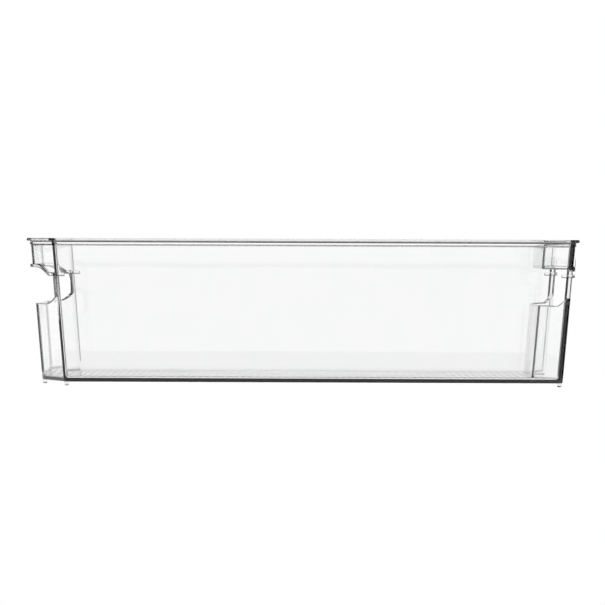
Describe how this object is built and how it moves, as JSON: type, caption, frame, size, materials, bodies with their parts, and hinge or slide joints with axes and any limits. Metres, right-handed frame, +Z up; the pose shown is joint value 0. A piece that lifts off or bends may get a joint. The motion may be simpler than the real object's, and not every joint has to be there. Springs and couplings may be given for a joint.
{
  "type": "fridge storage box",
  "caption": "Clear open-topped fridge storage box with a bowed end, a matching hollowed end, a finger opening under each grip band, a rim flange and small feet.",
  "frame": {"origin": "middle of the footprint, on the plane of the feet", "axes": "+X along the box towards the hollowed end, +Y across it, +Z up"},
  "size_m": [0.3722, 0.1654, 0.0986],
  "materials": {
    "clear_plastic": "clear, polished on both faces"
  },
  "bodies": {
    "root": {"floor_panel": "clear_plastic", "floor_ribs": "clear_plastic", "side_wall_near": "clear_plastic", "side_wall_far": "clear_plastic", "bow_end_wall": "clear_plastic", "hollow_end_wall": "clear_plastic", "bow_grip_band": "clear_plastic", "hollow_grip_band": "clear_plastic", "bow_grip_bead": "clear_plastic", "hollow_grip_bead": "clear_plastic", "hollow_nub_near": "clear_plastic", "hollow_nub_far": "clear_plastic", "rim_flange": "clear_plastic", "foot_bow_near": "clear_plastic", "foot_bow_far": "clear_plastic", "foot_hollow_near": "clear_plastic", "foot_hollow_far": "clear_plastic", "foot_shoulder_near": "clear_plastic", "foot_shoulder_far": "clear_plastic"}
  },
  "joints": []
}
